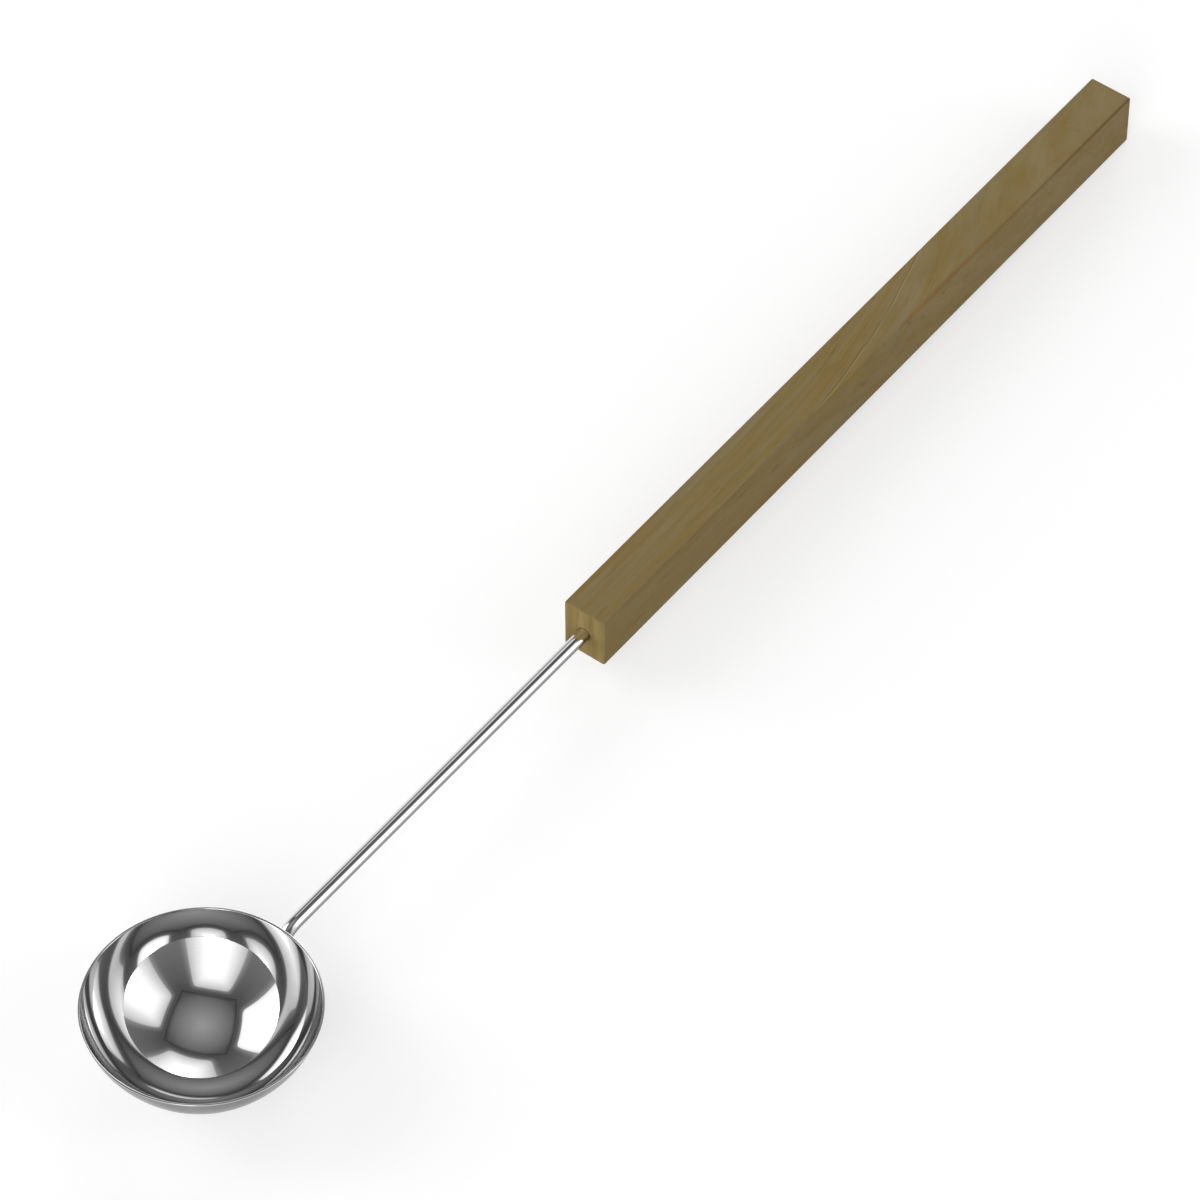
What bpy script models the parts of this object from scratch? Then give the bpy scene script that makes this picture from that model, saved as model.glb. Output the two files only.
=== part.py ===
"""Sauna ladle: a pressed steel bowl on a bent steel rod that is glued into a cedar handle.

Metres, +Z up. The ladle lies along X with the bowl at -X and the handle at +X, its rim and its
handle level. The origin is under the middle of its length, on the surface the bowl stands on.
"""

import math

import bmesh
import bpy
from mathutils import Matrix

# Handle: a planed stick with eased edges.
HANDLE_LENGTH = 0.330
HANDLE_WIDTH = 0.018
HANDLE_HEIGHT = 0.023
HANDLE_EDGE_RADIUS = 0.001

# Bowl: a spherical cap pressed from sheet, measured over its outside.
RIM_RADIUS = 0.0422
BOWL_DEPTH = 0.0325
SHEET_THICKNESS = 0.0008
RIM_EDGE_RADIUS = 0.0002

# Rod: from the handle it runs level, bends down before the rim and lies along the bowl's outside.
ROD_DIAMETER = 0.005
BOWL_AXIS_TO_HANDLE = 0.2137
RIM_ABOVE_ROD_AXIS = 0.0059
ELBOW_RADIUS = 0.011
LEG_LENGTH = 0.009
FOOT_LENGTH = 0.014
ROD_END_CHAMFER = 0.0004

# Tang: the end of the rod that is glued into the handle's blind bore.
TANG_LENGTH = 0.060
BORE_END_CLEARANCE = 0.001
GLUE_THICKNESS = 0.0003
GLUE_CLEARANCE = 0.00005
GLUE_INSET = 0.0015

# Welds: a fillet bead on each side of the foot.
WELD_RADIUS = 0.0011
WELD_END_INSET = 0.001
WELD_CLEARANCE = 0.0002
SEAT_CLEARANCE = 0.0003

# Facets.
BOWL_SEGMENTS = 72
BOWL_RINGS = 16
EDGE_SEGMENTS = 3
ROD_BEVEL_RESOLUTION = 8
BORE_SEGMENTS = 32
WELD_BEVEL_RESOLUTION = 4
ELBOW_STEPS = 12
FOOT_STEPS = 8
SHARP_ANGLE = math.radians(35.0)
MERGE_DISTANCE = 1e-6

# Surfaces: linear base colour, metallic, roughness.
POLISHED_STEEL = ((0.62, 0.62, 0.63), 1.0, 0.12)
DRAWN_STEEL = ((0.58, 0.58, 0.59), 1.0, 0.18)
WELD_STEEL = ((0.42, 0.41, 0.40), 1.0, 0.38)
OILED_CEDAR = ((0.205, 0.152, 0.064), 0.0, 0.55)
CURED_GLUE = ((0.55, 0.42, 0.20), 0.0, 0.35)

# Sizes that follow from those above, with x from the bowl's axis and z from the bowl's foot.
ROD_RADIUS = ROD_DIAMETER / 2
SPHERE_RADIUS = (RIM_RADIUS ** 2 + BOWL_DEPTH ** 2) / (2 * BOWL_DEPTH)
ROD_AXIS_HEIGHT = BOWL_DEPTH - RIM_ABOVE_ROD_AXIS
FOOT_RADIUS = SPHERE_RADIUS + SEAT_CLEARANCE + ROD_RADIUS
HANDLE_END = BOWL_AXIS_TO_HANDLE + HANDLE_LENGTH
TANG_END = BOWL_AXIS_TO_HANDLE + TANG_LENGTH
GLUE_INNER_RADIUS = ROD_RADIUS + GLUE_CLEARANCE
GLUE_OUTER_RADIUS = GLUE_INNER_RADIUS + GLUE_THICKNESS
BORE_RADIUS = GLUE_OUTER_RADIUS + GLUE_CLEARANCE
BORE_DEPTH = TANG_LENGTH + BORE_END_CLEARANCE
MIDDLE_OF_LENGTH = (HANDLE_END - RIM_RADIUS) / 2


def clear_scene():
    """Remove every object of the scene."""
    for obj in list(bpy.data.objects):
        bpy.data.objects.remove(obj, do_unlink=True)


def make_material(name, surface):
    """Return a Principled material from a (colour, metallic, roughness) surface."""
    colour, metallic, roughness = surface
    material = bpy.data.materials.new(name)
    material.use_nodes = True
    shader = material.node_tree.nodes["Principled BSDF"]
    shader.inputs["Base Color"].default_value = (*colour, 1.0)
    shader.inputs["Metallic"].default_value = metallic
    shader.inputs["Roughness"].default_value = roughness
    return material


def add_object(name, data, parent, material):
    """Put a mesh or curve into the scene under the ladle's empty."""
    data.materials.append(material)
    obj = bpy.data.objects.new(name, data)
    obj.parent = parent
    bpy.context.scene.collection.objects.link(obj)
    return obj


def mesh_from_bmesh(name, bm):
    """Turn a bmesh into a smooth-shaded mesh with sharp edges at its corners."""
    bm.normal_update()
    bmesh.ops.recalc_face_normals(bm, faces=bm.faces)
    mesh = bpy.data.meshes.new(name)
    bm.to_mesh(mesh)
    bm.free()
    mesh.shade_smooth()
    mesh.set_sharp_from_angle(angle=SHARP_ANGLE)
    return mesh


def round_edges(obj, radius):
    """Ease the sharp edges of an object, such as a deburred rim or a sanded stick."""
    bevel = obj.modifiers.new("eased_edges", "BEVEL")
    bevel.width = radius
    bevel.segments = EDGE_SEGMENTS
    bevel.limit_method = "ANGLE"
    bevel.angle_limit = SHARP_ANGLE


def cap_arc(radius, top):
    """Points (r, z) on a sphere about the bowl's centre, from its foot up to the height top."""
    opening = math.acos((SPHERE_RADIUS - top) / radius)
    angles = [opening * ring / BOWL_RINGS for ring in range(BOWL_RINGS + 1)]
    return [(radius * math.sin(a), SPHERE_RADIUS - radius * math.cos(a)) for a in angles]


def make_bowl(parent):
    """Revolve the outside arc, the rim and the inside arc into a thin spherical cap."""
    outside = cap_arc(SPHERE_RADIUS, BOWL_DEPTH)
    inside = cap_arc(SPHERE_RADIUS - SHEET_THICKNESS, BOWL_DEPTH)
    profile = outside + inside[::-1]
    bm = bmesh.new()
    verts = [bm.verts.new((r, 0.0, z)) for r, z in profile]
    edges = [bm.edges.new(pair) for pair in zip(verts, verts[1:])]
    bmesh.ops.spin(
        bm,
        geom=verts + edges,
        cent=(0.0, 0.0, 0.0),
        axis=(0.0, 0.0, 1.0),
        angle=math.tau,
        steps=BOWL_SEGMENTS,
    )
    bmesh.ops.remove_doubles(bm, verts=bm.verts, dist=MERGE_DISTANCE)
    mesh = mesh_from_bmesh("bowl", bm)
    bowl = add_object("bowl", mesh, parent, make_material("polished_steel", POLISHED_STEEL))
    round_edges(bowl, RIM_EDGE_RADIUS)
    return bowl


def elbow():
    """Return the bend's centre (x, z) and its turn.

    The leg after the bend is a tangent of the foot's arc. With the leg's length given, the bend's
    centre lies at the hypotenuse of (foot radius + elbow radius, leg length) from the bowl's centre.
    """
    drop = SPHERE_RADIUS - ROD_AXIS_HEIGHT + ELBOW_RADIUS
    reach = math.hypot(FOOT_RADIUS + ELBOW_RADIUS, LEG_LENGTH)
    centre_x = math.sqrt(reach ** 2 - drop ** 2)
    turn = math.asin((FOOT_RADIUS + ELBOW_RADIUS) / reach) - math.atan2(drop, centre_x)
    return (centre_x, ROD_AXIS_HEIGHT - ELBOW_RADIUS), turn


def on_bowl(radius, angle, side_angle=0.0):
    """A point about the bowl's centre: angle from its foot towards +X, side_angle towards +Y."""
    outward = radius * math.cos(side_angle)
    return (
        outward * math.sin(angle),
        radius * math.sin(side_angle),
        SPHERE_RADIUS - outward * math.cos(angle),
    )


def rod_centreline():
    """Points of the rod's axis from the tang's end to the foot's end."""
    (centre_x, centre_z), turn = elbow()
    foot_end = turn - FOOT_LENGTH / FOOT_RADIUS
    points = [
        (TANG_END, 0.0, ROD_AXIS_HEIGHT),
        (TANG_END - ROD_END_CHAMFER, 0.0, ROD_AXIS_HEIGHT),
    ]
    for step in range(ELBOW_STEPS + 1):
        a = turn * step / ELBOW_STEPS
        points.append((centre_x - ELBOW_RADIUS * math.sin(a), 0.0, centre_z + ELBOW_RADIUS * math.cos(a)))
    for step in range(FOOT_STEPS + 1):
        points.append(on_bowl(FOOT_RADIUS, turn + (foot_end - turn) * step / FOOT_STEPS))
    points.append(on_bowl(FOOT_RADIUS, foot_end - ROD_END_CHAMFER / FOOT_RADIUS))
    return points


def round_bar(name, points, radius, chamfer, resolution):
    """A curve with a round bevel, closed and chamfered at both ends."""
    curve = bpy.data.curves.new(name, "CURVE")
    curve.dimensions = "3D"
    curve.bevel_depth = radius
    curve.bevel_resolution = resolution
    curve.use_fill_caps = True
    spline = curve.splines.new("POLY")
    spline.points.add(len(points) - 1)
    for point, place in zip(spline.points, points):
        point.co = (*place, 1.0)
    for end in (spline.points[0], spline.points[-1]):
        end.radius = 1.0 - chamfer / radius
    spline.use_smooth = True
    return curve


def make_shank_rod(parent):
    """Sweep the rod along its centreline."""
    curve = round_bar("shank_rod", rod_centreline(), ROD_RADIUS, ROD_END_CHAMFER, ROD_BEVEL_RESOLUTION)
    return add_object("shank_rod", curve, parent, make_material("drawn_steel", DRAWN_STEEL))


def make_weld_bead(name, side, parent, material):
    """Lay a bead in the groove between the foot and the bowl, on the side +1 (+Y) or -1 (-Y).

    The bead's axis, the foot's axis and the bowl's centre form a triangle whose three sides are
    known, which gives the bead's angle beside the foot.
    """
    bead_radius = SPHERE_RADIUS + WELD_CLEARANCE + WELD_RADIUS
    from_foot = ROD_RADIUS + WELD_CLEARANCE + WELD_RADIUS
    cosine = (bead_radius ** 2 + FOOT_RADIUS ** 2 - from_foot ** 2) / (2 * bead_radius * FOOT_RADIUS)
    side_angle = side * math.acos(cosine)
    turn = elbow()[1]
    first = turn - WELD_END_INSET / FOOT_RADIUS
    last = turn - (FOOT_LENGTH - WELD_END_INSET) / FOOT_RADIUS
    angles = [first + (last - first) * step / FOOT_STEPS for step in range(FOOT_STEPS + 1)]
    points = [on_bowl(bead_radius, angle, side_angle) for angle in angles]
    curve = round_bar(name, points, WELD_RADIUS, WELD_RADIUS / 2, WELD_BEVEL_RESOLUTION)
    return add_object(name, curve, parent, material)


def cylinder_along_x(name, radius, length):
    """A solid cylinder about X that runs from x = 0 to x = length."""
    bm = bmesh.new()
    lying = Matrix.Translation((length / 2, 0.0, 0.0)) @ Matrix.Rotation(math.pi / 2, 4, "Y")
    bmesh.ops.create_cone(
        bm,
        cap_ends=True,
        segments=BORE_SEGMENTS,
        radius1=radius,
        radius2=radius,
        depth=length,
        matrix=lying,
    )
    return mesh_from_bmesh(name, bm)


def drill(obj, radius, start, end):
    """Cut a hole about the rod's axis out of an object, from x = start to x = end."""
    name = obj.name + "_drill"
    cutter = bpy.data.objects.new(name, cylinder_along_x(name, radius, end - start))
    cutter.parent = obj.parent
    cutter.location = (start, 0.0, ROD_AXIS_HEIGHT)
    cutter.hide_render = True
    cutter.display_type = "WIRE"
    bpy.context.scene.collection.objects.link(cutter)
    cut = obj.modifiers.new("drilled_hole", "BOOLEAN")
    cut.operation = "DIFFERENCE"
    cut.object = cutter


def make_handle(parent):
    """A stick with eased edges and a blind bore for the tang in the face towards the bowl."""
    bm = bmesh.new()
    bmesh.ops.create_cube(bm, size=1.0)
    bmesh.ops.scale(bm, vec=(HANDLE_LENGTH, HANDLE_WIDTH, HANDLE_HEIGHT), verts=bm.verts)
    mesh = mesh_from_bmesh("handle", bm)
    handle = add_object("handle", mesh, parent, make_material("oiled_cedar", OILED_CEDAR))
    handle.location = (BOWL_AXIS_TO_HANDLE + HANDLE_LENGTH / 2, 0.0, ROD_AXIS_HEIGHT)
    round_edges(handle, HANDLE_EDGE_RADIUS)
    drill(handle, BORE_RADIUS, BOWL_AXIS_TO_HANDLE - BORE_DEPTH, BOWL_AXIS_TO_HANDLE + BORE_DEPTH)
    return handle


def make_adhesive_sleeve(parent):
    """The cured glue between the tang and the bore, a thin tube set back from the handle's face."""
    start = BOWL_AXIS_TO_HANDLE + GLUE_INSET
    length = TANG_LENGTH - 2 * GLUE_INSET
    mesh = cylinder_along_x("adhesive_sleeve", GLUE_OUTER_RADIUS, length)
    sleeve = add_object("adhesive_sleeve", mesh, parent, make_material("cured_glue", CURED_GLUE))
    sleeve.location = (start, 0.0, ROD_AXIS_HEIGHT)
    drill(sleeve, GLUE_INNER_RADIUS, start - length, start + 2 * length)
    return sleeve


def main():
    """Build the ladle under one empty, centred on its length."""
    clear_scene()
    ladle = bpy.data.objects.new("ladle", None)
    ladle.location = (-MIDDLE_OF_LENGTH, 0.0, 0.0)
    bpy.context.scene.collection.objects.link(ladle)
    make_bowl(ladle)
    make_shank_rod(ladle)
    weld_steel = make_material("weld_steel", WELD_STEEL)
    make_weld_bead("weld_bead_left", 1.0, ladle, weld_steel)
    make_weld_bead("weld_bead_right", -1.0, ladle, weld_steel)
    make_handle(ladle)
    make_adhesive_sleeve(ladle)
    bpy.context.view_layer.update()


main()
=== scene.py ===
import math

import bpy
import numpy as np
from bpy.props import FloatProperty, FloatVectorProperty, PointerProperty
from bpy.types import Operator, Panel, PropertyGroup
from mathutils import Matrix, Vector


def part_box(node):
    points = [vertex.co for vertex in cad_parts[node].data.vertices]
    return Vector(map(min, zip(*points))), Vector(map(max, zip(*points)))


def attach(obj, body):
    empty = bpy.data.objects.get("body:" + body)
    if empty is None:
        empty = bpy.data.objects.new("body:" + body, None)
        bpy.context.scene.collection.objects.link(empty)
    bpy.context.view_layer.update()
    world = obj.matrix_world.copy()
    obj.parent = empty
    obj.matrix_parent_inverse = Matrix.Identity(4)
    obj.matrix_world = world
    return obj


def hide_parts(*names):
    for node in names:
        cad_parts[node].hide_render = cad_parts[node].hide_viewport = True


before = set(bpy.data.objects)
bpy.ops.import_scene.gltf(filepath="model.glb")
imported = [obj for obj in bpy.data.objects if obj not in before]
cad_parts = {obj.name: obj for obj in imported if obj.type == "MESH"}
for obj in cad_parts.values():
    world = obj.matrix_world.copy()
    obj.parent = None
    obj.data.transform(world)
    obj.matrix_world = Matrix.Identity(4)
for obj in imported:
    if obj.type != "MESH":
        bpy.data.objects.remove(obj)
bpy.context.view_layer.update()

bl_info = {
    "name": "Sauna Ladle",
    "version": (1, 0, 0),
    "blender": (4, 5, 0),
    "location": "View3D > Sidebar > Ladle",
    "description": "Dresses a sauna ladle: polished bowl, bent rod, welds and cedar handle",
    "category": "Object",
}

BOWL_LOW, BOWL_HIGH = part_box("bowl")
HANDLE_LOW, HANDLE_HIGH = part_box("handle")
ROD_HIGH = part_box("shank_rod")[1]
GLUE_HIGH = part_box("adhesive_sleeve")[1]

# Bowl skin: rings from the outer foot up to the lip, on the lip, and down to the inner foot.
WALL_RINGS = 95
LIP_RINGS = 25
# Share of the outside's darker tone on the lip: it dims the lip's reflection, as painted shade.
LIP_SHARE = 0.5

# Steel: edge tint, share of working lines in the tone, and metal left after three glances.
EDGE_TINT = (0.75, 0.75, 0.75)
LINE_TONE = (0.2, 0.2, 0.2)
LINES_INSIDE = 0.03
LINES_OUTSIDE = 0.23
DEEP_METAL = 0.6

# Rod: painted shade, darker as the normal turns from up to the flanks and the underside: upright
# part of the normal where the painted shade begins, and the span it takes.
ROD_SHADE_FROM = 0.74
ROD_SHADE_SPAN = 0.5

# Board, in millimetres: height of its top, and heights between which a side turns into it.
TOP_Z = 38.1
TOP_FADE = (37.0, 37.9)
MARK_SLANT = 0.45

# Studio room, as shares of its half width.
WINDOW_SHIFT = -0.03
WINDOW_HALF = 0.517
WINDOW_TOP = 1.45
WINDOW_ROUND = 0.3
CORE_FROM = 0.45

# Floor and lamp, in metres.
FLOOR_RADIUS = 9.0
LAMP_WIDTH = 3.0
LAMP_DISTANCE = 5.0
LAMP_SIDE = (-0.77, -0.105, 0.63)


def linear(red, green, blue):
    """Linear light of a display colour written from 0 to 255: the sRGB curve undone."""
    share = np.array((red, green, blue)) / 255.0
    light = np.where(share > 0.04045, ((share + 0.055) / 1.055) ** 2.4, share / 12.92)
    return tuple(float(value) for value in light)


def length_property(name, description, default):
    return FloatProperty(
        name=name, description=description, default=default, min=0.0,
        precision=5, subtype="DISTANCE", unit="LENGTH",
    )


def colour_property(name, description, default):
    return FloatVectorProperty(
        name=name, description=description, default=default, size=3,
        min=0.0, max=1.0, subtype="COLOR",
    )


def angle_property(name, description, degrees):
    return FloatProperty(
        name=name, description=description, default=math.radians(degrees),
        subtype="ANGLE", unit="ROTATION",
    )


def level_property(name, description, default):
    return FloatProperty(name=name, description=description, default=default, min=0.0)


class LadleSizes(PropertyGroup):
    """Sizes of the ladle's pieces."""

    rim_radius: length_property("Rim radius", "Outer radius of the bowl at its rim", 0.0422)
    bowl_depth: length_property(
        "Bowl depth", "Height of the rim above the bowl's foot", BOWL_HIGH.z - BOWL_LOW.z
    )
    sheet: length_property("Sheet", "Thickness of the bowl's steel sheet", 0.0008)
    lip_height: length_property("Lip height", "Height of the rounded edge of the sheet", 0.0004)
    rod_diameter: length_property("Rod diameter", "Diameter of the bent rod", 0.005)
    elbow_radius: length_property("Elbow radius", "Radius of the bend on the rod's axis", 0.011)
    leg: length_property("Leg", "Straight length between the bend and the foot", 0.009)
    foot: length_property("Foot", "Length of rod that follows the bowl", 0.014)
    seat: length_property("Seat", "Clearance between the foot and the bowl", 0.0003)
    rod_end_edge: length_property("Rod end edge", "Rounding of the rod's cut ends", 0.0005)
    bead_radius: length_property("Bead radius", "Radius of a weld bead", 0.0014)
    bead_core: length_property("Bead core", "Radius that sets a bead's axis", 0.0011)
    bead_gap: length_property("Bead gap", "Clearance that sets a bead's axis", 0.0002)
    bead_inset: length_property("Bead inset", "Distance from a foot end to a bead end", 0.001)
    long_edge: length_property("Long edge", "Rounding of the handle's long edges", 0.0009)
    end_edge: length_property("End edge", "Rounding of the handle's end edges", 0.0007)
    bore_radius: length_property("Bore radius", "Radius of the hole for the rod", 0.0029)
    bore_depth: length_property("Bore depth", "Depth of the hole for the rod", 0.061)


class LadleFinishes(PropertyGroup):
    """Colours of the ladle's materials."""

    polished: colour_property("Polished steel", "Mirror inside the bowl", (0.86, 0.86, 0.865))
    # Outside the bowl: a duller satin finish whose dark tone is also painted shade, standing in for
    # a darker floor in its reflection.
    satin_and_shade: colour_property("Satin steel with painted shade", "Duller finish outside the bowl", (0.285, 0.285, 0.285))
    # Dark tone of the rod's flanks and underside: painted shade, not a finish of its own.
    rod_shade_tone: colour_property("Rod steel with painted shade", "Steel of the rod, as drawn", (0.31, 0.31, 0.31))
    weld: colour_property("Weld steel", "Steel of the weld beads", (0.36, 0.36, 0.365))
    cedar_grey: colour_property("Cedar, grey", "Cool olive patches", linear(132, 120, 87))
    cedar_gold: colour_property("Cedar, gold", "Warm patches", linear(132, 110, 60))
    cedar_brown: colour_property("Cedar, brown", "Red-brown patches", linear(133, 109, 69))
    # Dark grain lines; also the painted shade line along the top's edge on -Y.
    cedar_late_and_edge_shade: colour_property("Cedar, late wood", "Thin dark grain lines", linear(92, 72, 38))
    cedar_glow: colour_property("Cedar, glow", "Thin light streaks", linear(170, 146, 98))
    cedar_sawn: colour_property("Cedar, sawn", "Pale rings on a sawn end", linear(154, 135, 88))
    cedar_ring: colour_property("Cedar, ring", "Dark rings on a sawn end", linear(130, 109, 65))
    cedar_rust: colour_property("Cedar, rust", "Red-brown stain along an edge", linear(128, 92, 48))
    glue: colour_property("Glue", "Cured glue round the rod", linear(140, 120, 80))


class LadleStage(PropertyGroup):
    """Light, floor and view."""

    floor: colour_property("Floor", "Colour of the floor", (0.52, 0.52, 0.52))
    floor_glow: level_property("Floor glow", "White added for the eye and for metal", 0.555)
    room_half: FloatProperty(
        name="Room half width", description="Distance from the ladle to a studio wall",
        default=10.0, min=4.0, subtype="DISTANCE", unit="LENGTH",
    )
    room_turn: angle_property("Room turn", "Turn of the studio room about the vertical", 25.5)
    ceiling_ratio: level_property("Ceiling ratio", "Ceiling height over half width", 1.82)
    window_edge: level_property("Window edge", "Light at the edge of a window", 0.585)
    window_slope: level_property("Window slope", "Gain of light inwards from the edge", 1.35)
    window_core: level_property("Window core", "Light added in the middle of a window", 2.1)
    key_gain: level_property("Key gain", "Light of the key window over the others", 1.6)
    lamp_level: level_property("Lamp level", "Light of the soft lamp on a facing surface", 0.61)
    target: FloatVectorProperty(
        name="Target", description="Point at the middle of the view",
        default=(-0.021175, 0.005119, 0.0266), size=3, subtype="XYZ", unit="LENGTH",
    )
    azimuth: angle_property("Azimuth", "Side that the camera looks from", -52.40698)
    elevation: angle_property("Elevation", "Height of the camera over the horizon", 49.79948)
    roll: angle_property("Roll", "Turn of the camera about its axis", -0.12738)
    distance: FloatProperty(
        name="Distance", description="Camera to target", default=2.373926, min=0.1,
        subtype="DISTANCE", unit="LENGTH",
    )
    lens: FloatProperty(
        name="Lens", description="Focal length on a 36 mm sensor, in millimetres",
        default=198.335, min=10.0,
    )


def unit(vectors):
    """Each vector divided by its own length."""
    return vectors / np.linalg.norm(vectors, axis=-1, keepdims=True)


def turns(count):
    """Even angles round one full turn."""
    return np.linspace(0.0, 2.0 * math.pi, count, endpoint=False)


def lengths(points):
    """Length walked along a line of points, from nought at the first."""
    return np.concatenate([[0.0], np.cumsum(np.linalg.norm(np.diff(points, axis=0), axis=1))])


def closed_skin(name, rings, normals, along, poles=None, attributes=None):
    """One closed mesh from a stack of rings.

    Point j of ring i joins points j and j + 1 of ring i + 1, and the last point of a ring
    joins its first. Two poles close the ends with fans; without them the last ring joins
    the first. The map "surface" holds the share round a ring and the length along the rings.
    """
    rows, columns = rings.shape[:2]
    points = rings.reshape(-1, 3)
    facing = normals.reshape(-1, 3)
    spans = rows - 1 if poles else rows
    i = np.arange(spans)[:, None]
    j = np.arange(columns)[None, :]
    low = i * columns
    high = ((i + 1) % rows) * columns
    beside = (j + 1) % columns
    quads = np.stack([low + j, low + beside, high + beside, high + j], -1).reshape(-1, 4)
    u_low = np.broadcast_to(j / columns, (spans, columns))
    u_high = np.broadcast_to((j + 1) / columns, (spans, columns))
    v_low = np.broadcast_to(along[:spans, None], (spans, columns))
    v_high = np.broadcast_to(along[1 : spans + 1, None], (spans, columns))
    u = np.stack([u_low, u_high, u_high, u_low], -1)
    v = np.stack([v_low, v_low, v_high, v_high], -1)
    maps = np.stack([u, v], -1).reshape(-1, 4, 2)
    fans = np.zeros((0, 3), int)
    fan_maps = np.zeros((0, 3, 2))
    if poles:
        first = rows * columns
        j = j[0]
        beside = beside[0]
        last_row = (rows - 1) * columns
        fans = np.concatenate(
            [
                np.stack([np.full(columns, first), beside, j], -1),
                np.stack([last_row + j, last_row + beside, np.full(columns, first + 1)], -1),
            ]
        )
        left = j / columns
        right = (j + 1) / columns
        middle = (left + right) / 2
        u = np.array([[middle, right, left], [left, right, middle]])
        u = u.transpose(0, 2, 1).reshape(-1, 3)
        v = np.repeat([along[0], along[rows - 1]], columns)[:, None]
        fan_maps = np.stack([u, np.broadcast_to(v, u.shape)], -1)
        points = np.concatenate([points, [poles[0][0], poles[1][0]]])
        facing = np.concatenate([facing, [poles[0][1], poles[1][1]]])
    corners = np.concatenate([quads[:, [0, 1, 2]], quads[:, [0, 2, 3]], fans])
    a, b, c = (points[corners[:, k]] for k in range(3))
    if np.einsum("ij,ij->", a, np.cross(b, c)) < 0.0:
        quads = quads[:, ::-1]
        maps = maps[:, ::-1]
        fans = fans[:, ::-1]
        fan_maps = fan_maps[:, ::-1]
    mesh = bpy.data.meshes.new(name)
    mesh.from_pydata(points.tolist(), [], quads.tolist() + fans.tolist())
    layer = mesh.uv_layers.new(name="surface")
    layer.data.foreach_set("uv", np.concatenate([maps.ravel(), fan_maps.ravel()]))
    mesh.polygons.foreach_set("use_smooth", np.ones(len(mesh.polygons), bool))
    for key, values in (attributes or {}).items():
        ends = [values[0].mean(), values[-1].mean()] if poles else []
        filled = np.concatenate([values.ravel(), ends])
        mesh.attributes.new(key, "FLOAT", "POINT").data.foreach_set("value", filled)
    mesh.normals_split_custom_set_from_vertices(unit(facing).tolist())
    if mesh.validate():
        raise RuntimeError(f"{name}: the skin has faults")
    piece = bpy.data.objects.new(name, mesh)
    bpy.context.scene.collection.objects.link(piece)
    return piece


def stage_skin(name, points, faces):
    """Plain stage mesh from points and faces."""
    mesh = bpy.data.meshes.new(name)
    mesh.from_pydata(points, [], faces)
    item = bpy.data.objects.new(name, mesh)
    bpy.context.scene.collection.objects.link(item)
    return item


def dress(piece, material, node):
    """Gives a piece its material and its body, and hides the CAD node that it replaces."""
    piece.data.materials.append(material)
    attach(piece, "root")
    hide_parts(node)


class Bench:
    """Adds and joins nodes in one node tree."""

    def __init__(self, tree):
        self.tree = tree
        tree.nodes.clear()

    def put(self, socket, value):
        if isinstance(value, bpy.types.NodeSocket):
            self.tree.links.new(value, socket)
        elif hasattr(socket.default_value, "__len__") and len(socket.default_value) == 4:
            socket.default_value = (*tuple(value)[:3], 1.0)
        else:
            socket.default_value = value

    def add(self, kind, inputs=None, **settings):
        made = self.tree.nodes.new(kind)
        for key, value in settings.items():
            setattr(made, key, value)
        for key, value in (inputs or {}).items():
            self.put(made.inputs[key], value)
        return made

    def sum(self, operation, *values):
        return self.add("ShaderNodeMath", dict(enumerate(values)), operation=operation).outputs[0]

    def times(self, first, second):
        return self.sum("MULTIPLY", first, second)

    def plus(self, first, second):
        return self.sum("ADD", first, second)

    def less(self, first, second):
        return self.sum("SUBTRACT", first, second)

    def ratio(self, first, second):
        return self.sum("DIVIDE", first, second)

    def object_place(self):
        return self.add("ShaderNodeTexCoord").outputs["Object"]

    def mark(self, name):
        return self.add("ShaderNodeAttribute", attribute_name=name).outputs["Fac"]

    def relief(self, strength, distance, height):
        inputs = {"Strength": strength, "Distance": distance, "Height": height}
        return self.add("ShaderNodeBump", inputs).outputs[0]

    def finish(self, inputs):
        """Principled surface with these inputs, joined to the material's output."""
        self.surface(self.add("ShaderNodeBsdfPrincipled", inputs))

    def surface(self, shader):
        out = self.add("ShaderNodeOutputMaterial")
        self.put(out.inputs["Surface"], shader.outputs[0])

    def span(self, value, low, high, to_low=0.0, to_high=1.0, soft=True):
        made = self.add(
            "ShaderNodeMapRange",
            {"Value": value, "From Min": low, "From Max": high,
             "To Min": to_low, "To Max": to_high},
            interpolation_type="SMOOTHSTEP" if soft else "LINEAR",
        )
        return made.outputs[0]

    def mix(self, factor, first, second):
        made = self.add("ShaderNodeMix", {0: factor, 6: first, 7: second}, data_type="RGBA")
        return made.outputs[2]

    def placed(self, vector, scale, location=(0.0, 0.0, 0.0)):
        made = self.add(
            "ShaderNodeMapping", {"Vector": vector, "Location": location, "Scale": scale}
        )
        return made.outputs[0]

    def clouds(self, vector, softness):
        return self.effect(cloudy_patches(), {"Vector": vector, "Softness": softness})["Mask"]

    def lines(self, vector, sparseness):
        return self.effect(fine_lines(), {"Vector": vector, "Sparseness": sparseness})

    def effect(self, tree, inputs):
        made = self.tree.nodes.new("ShaderNodeGroup")
        made.node_tree = tree
        for key, value in inputs.items():
            self.put(made.inputs[key], value)
        return made.outputs


def effect_group(name, inputs, outputs):
    """Empty shader node group with named sockets, its bench, and its input and output nodes."""
    tree = bpy.data.node_groups.new(name, "ShaderNodeTree")
    for label, kind, default in inputs:
        socket = tree.interface.new_socket(name=label, in_out="INPUT", socket_type=kind)
        if default is not None:
            socket.default_value = default
    for label, kind in outputs:
        tree.interface.new_socket(name=label, in_out="OUTPUT", socket_type=kind)
    bench = Bench(tree)
    source = bench.add("NodeGroupInput").outputs
    drain = bench.add("NodeGroupOutput").inputs
    return tree, bench, source, drain


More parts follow.
